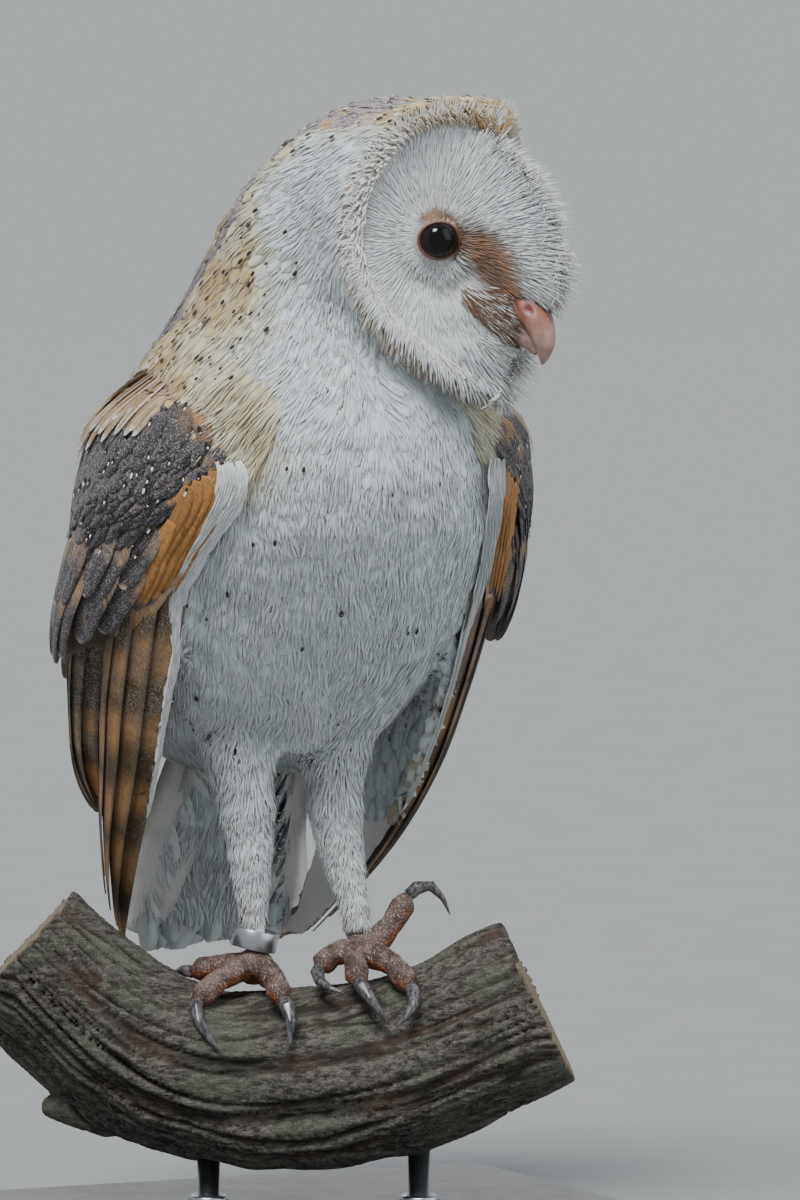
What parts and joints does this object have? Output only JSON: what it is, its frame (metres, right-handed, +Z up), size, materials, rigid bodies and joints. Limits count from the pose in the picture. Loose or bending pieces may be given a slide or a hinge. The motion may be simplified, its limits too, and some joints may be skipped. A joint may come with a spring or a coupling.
{
  "type": "barn owl",
  "caption": "A life-size barn owl standing on a cut length of weathered branch, its head turned to its left and a plain ring on one leg, on a flat display stand.",
  "frame": {"origin": "centre of the underside of the display stand, on the floor", "axes": "+Z up; the bird's breast faces -Y and its left side is +X; the head is turned 27 degrees to its left"},
  "size_m": [0.2181, 0.1888, 0.401],
  "materials": {
    "white_plumage": "soft white feathers, matt",
    "buff_plumage": "golden buff feathers with grey frosting, matt",
    "grey_plumage": "slate grey feathers peppered with white, matt",
    "flight_feathers": "gold brown vanes with dark bars, matt",
    "eye": "wet black",
    "bill": "smooth flesh pink horn",
    "foot_skin": "scaly pinkish brown skin with white bristles",
    "talon": "smooth black horn",
    "ring_metal": "plain worn metal",
    "weathered_wood": "grooved grey driftwood",
    "stand_base": "satin black",
    "stand_rod": "brushed"
  },
  "bodies": {
    "root": {"head": "buff_plumage", "neck": "buff_plumage", "trunk": "white_plumage", "tail": "white_plumage", "bill_upper": "bill", "bill_lower": "bill", "eye_right": "eye", "eye_left": "eye", "wing_right_coverts": "grey_plumage", "wing_right_secondaries": "flight_feathers", "wing_right_primaries": "flight_feathers", "thigh_right": "white_plumage", "tarsus_right": "foot_skin", "foot_right": "foot_skin", "toe_right_1": "foot_skin", "toe_right_2": "foot_skin", "toe_right_3": "foot_skin", "toe_right_4": "foot_skin", "talon_right_1": "talon", "talon_right_2": "talon", "talon_right_3": "talon", "talon_right_4": "talon", "wing_left_coverts": "grey_plumage", "wing_left_secondaries": "flight_feathers", "wing_left_primaries": "flight_feathers", "thigh_left": "white_plumage", "tarsus_left": "foot_skin", "foot_left": "foot_skin", "toe_left_1": "foot_skin", "toe_left_2": "foot_skin", "toe_left_3": "foot_skin", "toe_left_4": "foot_skin", "talon_left_1": "talon", "talon_left_2": "talon", "talon_left_3": "talon", "talon_left_4": "talon", "leg_ring": "ring_metal", "perch": "weathered_wood", "stand_base": "stand_base", "stand_rod_1": "stand_rod", "stand_rod_2": "stand_rod"}
  },
  "joints": []
}
